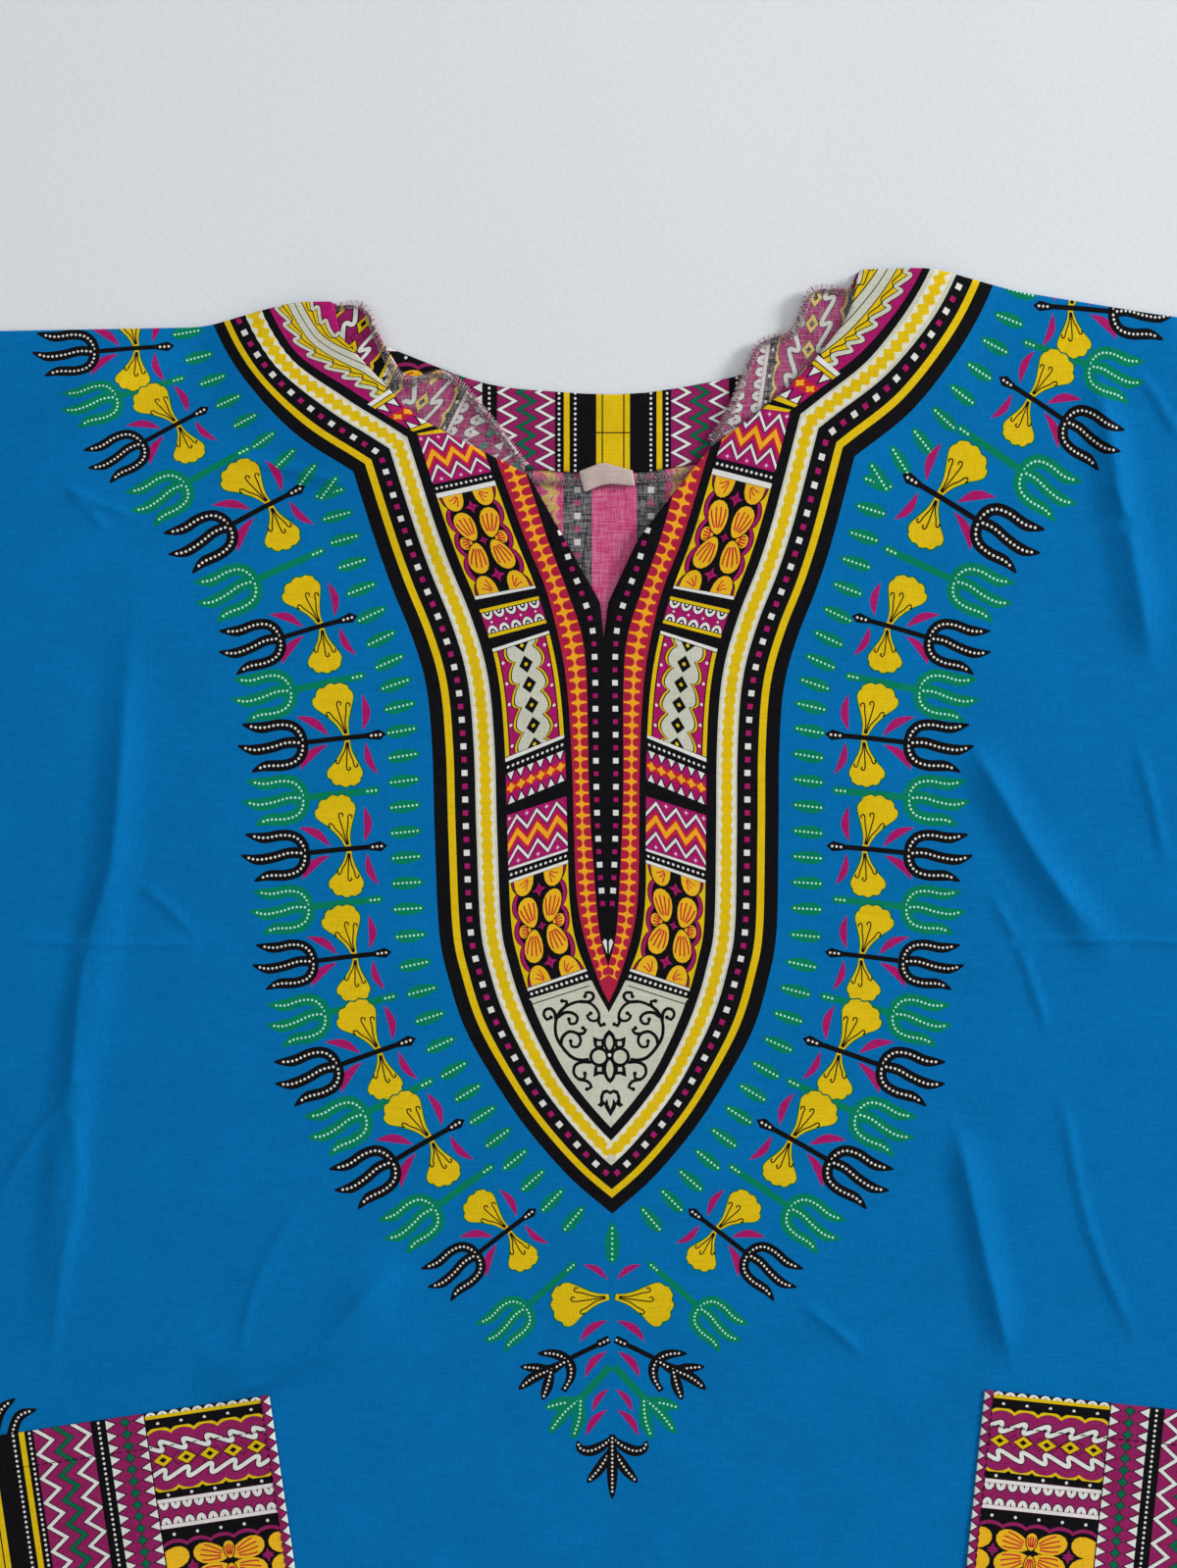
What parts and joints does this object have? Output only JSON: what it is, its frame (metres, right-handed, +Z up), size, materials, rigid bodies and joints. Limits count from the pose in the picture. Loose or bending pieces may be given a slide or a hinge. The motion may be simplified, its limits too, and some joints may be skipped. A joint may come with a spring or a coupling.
{
  "type": "dashiki shirt",
  "caption": "Pullover dashiki shirt in printed cotton, laid flat face up: kimono sleeves, slit scoop neck with rolled facings, patch pockets.",
  "frame": {"origin": "on the surface the shirt lies on, under the middle of its outline", "axes": "+Z up out of the front of the shirt, +Y towards the neck, +X towards the viewer's right-hand sleeve"},
  "size_m": [1.124, 0.7899, 0.0083],
  "materials": {
    "blue_cotton": "plain-weave printed cotton, matt, cerulean ground with the neck panel printed on it",
    "border_print": "plain-weave cotton with the banded border print in magenta, black, yellow, white and green, matt",
    "border_print_wrong_side": "wrong side of the border print, pale, matt, with an overlocked edge",
    "label_tape": "bare cream woven tape, soft sheen"
  },
  "bodies": {
    "root": {"back_panel": "blue_cotton", "front_panel": "blue_cotton", "back_neck_facing": "border_print", "left_neck_facing": "border_print_wrong_side", "right_neck_facing": "border_print_wrong_side", "neck_label": "label_tape", "left_pocket": "border_print", "right_pocket": "border_print"}
  },
  "joints": []
}
